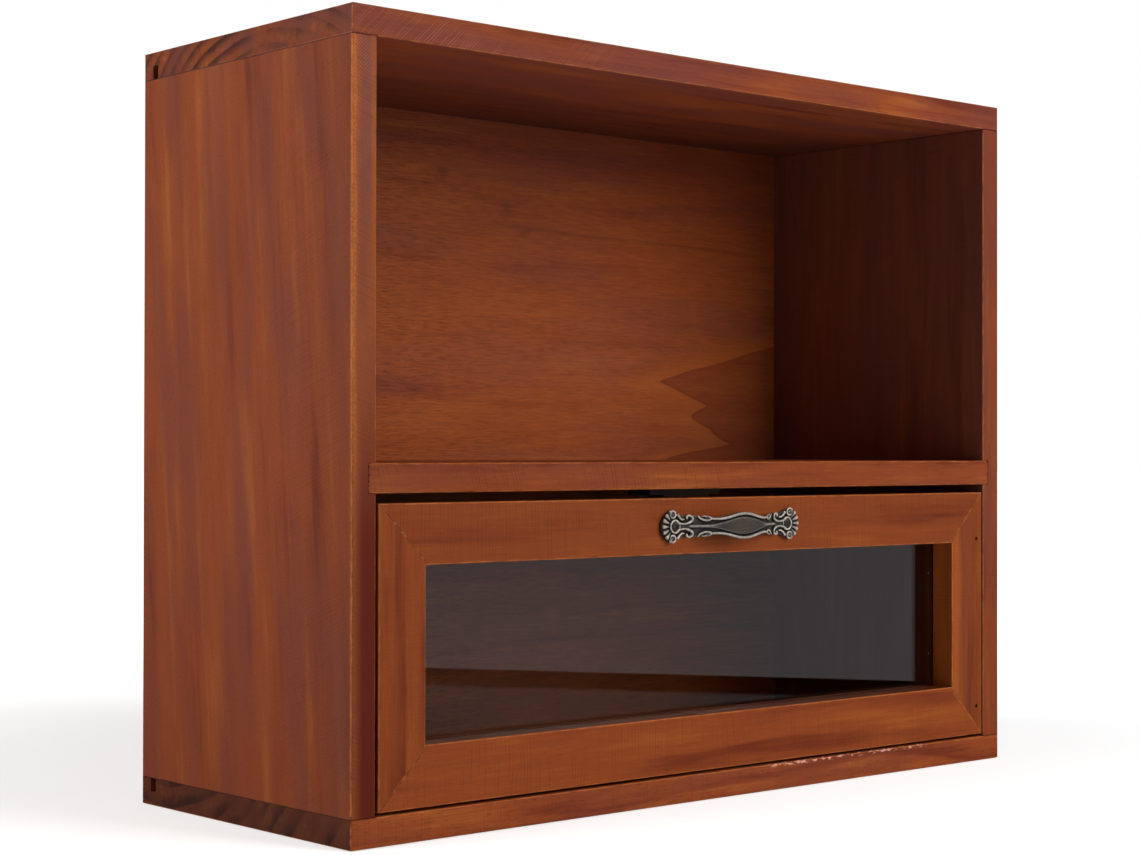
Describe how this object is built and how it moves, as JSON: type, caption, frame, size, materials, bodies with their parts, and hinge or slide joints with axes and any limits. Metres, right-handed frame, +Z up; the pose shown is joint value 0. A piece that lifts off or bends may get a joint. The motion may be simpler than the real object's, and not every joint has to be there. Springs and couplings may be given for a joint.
{
  "type": "bread cabinet",
  "caption": "Two-tier wooden bread cabinet: open compartment above, drop-front framed glass door with a cast bow handle below.",
  "frame": {"origin": "middle of the underside of the carcass, on the surface that it stands on", "axes": "+X to the right seen from the front, +Y to the back, +Z up; the door opens towards -Y"},
  "size_m": [0.4, 0.1652, 0.328],
  "materials": {
    "carcass_wood": "red-brown stain under a satin lacquer",
    "panel_plywood": "stained plywood veneer, satin",
    "door_wood": "orange-brown stain under a satin lacquer",
    "raw_wood": "unfinished",
    "glass": "clear float glass",
    "handle_casting": "antique pewter plating with a black patina in the recesses",
    "dark_steel": "blackened steel",
    "steel": "zinc-plated steel",
    "catch_plastic": "dark brown moulded plastic",
    "magnet": "sintered ferrite"
  },
  "bodies": {
    "cabinet": {"top_board": "carcass_wood", "bottom_board": "carcass_wood", "left_side": "carcass_wood", "right_side": "carcass_wood", "shelf": "carcass_wood", "back_panel": "panel_plywood", "carcass_dowels": "raw_wood", "catch_body": "catch_plastic", "catch_magnet": "magnet", "catch_poles": "steel", "catch_screws": "steel"},
    "door": {"door_top_rail": "door_wood", "door_bottom_rail": "door_wood", "door_left_stile": "door_wood", "door_right_stile": "door_wood", "mitre_splines": "raw_wood", "stile_brads": "dark_steel", "glass_pane": "glass", "bead_top": "door_wood", "bead_bottom": "door_wood", "bead_left": "door_wood", "bead_right": "door_wood", "glazing_pins": "steel", "handle": "handle_casting", "handle_screws": "dark_steel", "hinge_pin_left": "steel", "hinge_pin_right": "steel", "strike_plate": "steel", "strike_screw": "steel"}
  },
  "joints": [
    {"name": "door_hinge", "type": "hinge", "parent": "cabinet", "child": "door", "pos_m": [0, -0.07275, 0.0243], "axis": [1, 0, 0], "range_deg": [0, 95]}
  ]
}
